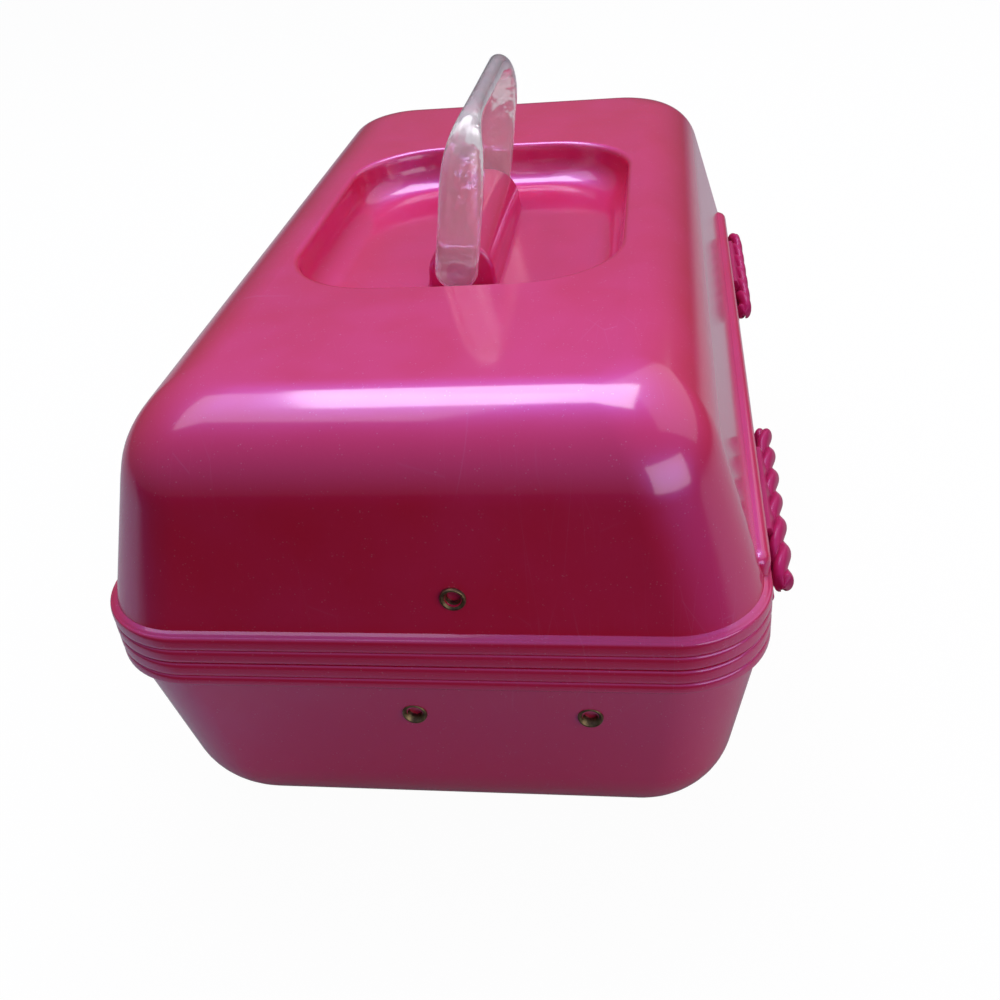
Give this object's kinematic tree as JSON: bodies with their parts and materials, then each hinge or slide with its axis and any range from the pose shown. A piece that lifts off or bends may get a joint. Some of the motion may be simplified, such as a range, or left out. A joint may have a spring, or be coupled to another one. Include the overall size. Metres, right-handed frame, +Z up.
{
  "type": "makeup storage case",
  "caption": "Lidded makeup case with ridged rim, folding clear bail handle in a lid recess, rope-grip latches, eyelet rivets and a tray that lifts as the lid opens.",
  "frame": {"origin": "centre of the standing face, at z = 0", "axes": "+X along the length to the right seen from the latch side, -Y to the latches, +Y to the hinges, +Z up"},
  "size_m": [0.394, 0.2464, 0.2364],
  "materials": {
    "case_plastic": "pearlescent pink, glossy with fine specks",
    "latch_plastic": "satin moulded pink",
    "tray_plastic": "light pink, semi-gloss",
    "clear_plastic": "clear, polished",
    "rivet_metal": "aged bronze-plated",
    "pin_metal": "plated steel",
    "mirror_glass": "silvered glass"
  },
  "bodies": {
    "base": {"base_shell": "case_plastic", "hinge_pin_left": "pin_metal", "hinge_pin_right": "pin_metal", "latch_pin_left": "pin_metal", "latch_pin_right": "pin_metal", "base_rivets": "rivet_metal", "base_washers": "pin_metal"},
    "lid": {"lid_shell": "case_plastic", "lid_rivets": "rivet_metal", "lid_washers": "pin_metal", "mirror_frame": "case_plastic", "mirror": "mirror_glass"},
    "handle": {"handle": "clear_plastic"},
    "latch_left": {"latch_left": "latch_plastic"},
    "latch_right": {"latch_right": "latch_plastic"},
    "rear_arms": {"rear_arm_left": "tray_plastic", "rear_arm_right": "tray_plastic"},
    "front_arms": {"front_arm_left": "tray_plastic", "front_arm_right": "tray_plastic"},
    "tray": {"tray": "tray_plastic", "arm_rivets": "rivet_metal", "link_studs": "pin_metal"},
    "lid_links": {"lid_link_left": "tray_plastic", "lid_link_right": "tray_plastic"}
  },
  "joints": [
    {"name": "lid_hinge", "type": "hinge", "parent": "base", "child": "lid", "pos_m": [0, 0.1182, 0.0984], "axis": [-1, 0, 0], "range_deg": [0, 95]},
    {"name": "handle_swing", "type": "hinge", "parent": "lid", "child": "handle", "pos_m": [0, 0, 0.1758], "axis": [1, 0, 0], "range_deg": [-99.5, 80.5]},
    {"name": "latch_left_swing", "type": "hinge", "parent": "base", "child": "latch_left", "pos_m": [-0.1085, -0.1156, 0.083], "axis": [1, 0, 0], "range_deg": [0, 110]},
    {"name": "latch_right_swing", "type": "hinge", "parent": "base", "child": "latch_right", "pos_m": [0.1085, -0.1156, 0.083], "axis": [1, 0, 0], "range_deg": [0, 110]},
    {"name": "rear_arm_swing", "type": "hinge", "parent": "base", "child": "rear_arms", "pos_m": [0, 0.005, 0.0735], "axis": [-1, 0, 0], "range_deg": [0, 66]},
    {"name": "front_arm_swing", "type": "hinge", "parent": "base", "child": "front_arms", "pos_m": [0, -0.055, 0.0735], "axis": [-1, 0, 0], "range_deg": [0, 66]},
    {"name": "tray_level", "type": "hinge", "parent": "rear_arms", "child": "tray", "pos_m": [0, -0.02804, 0.10832], "axis": [-1, 0, 0], "range_deg": [-66, 0]},
    {"name": "lid_link_swing", "type": "hinge", "parent": "lid", "child": "lid_links", "pos_m": [0, -0.014, 0.124], "axis": [-1, 0, 0], "range_deg": [0, 12]}
  ],
  "couplings": [
    {"joint": "rear_arm_swing", "follows": "lid_hinge", "ratio": 0.68},
    {"joint": "front_arm_swing", "follows": "lid_hinge", "ratio": 0.68},
    {"joint": "tray_level", "follows": "lid_hinge", "ratio": -0.68},
    {"joint": "lid_link_swing", "follows": "lid_hinge", "ratio": 0.12}
  ]
}
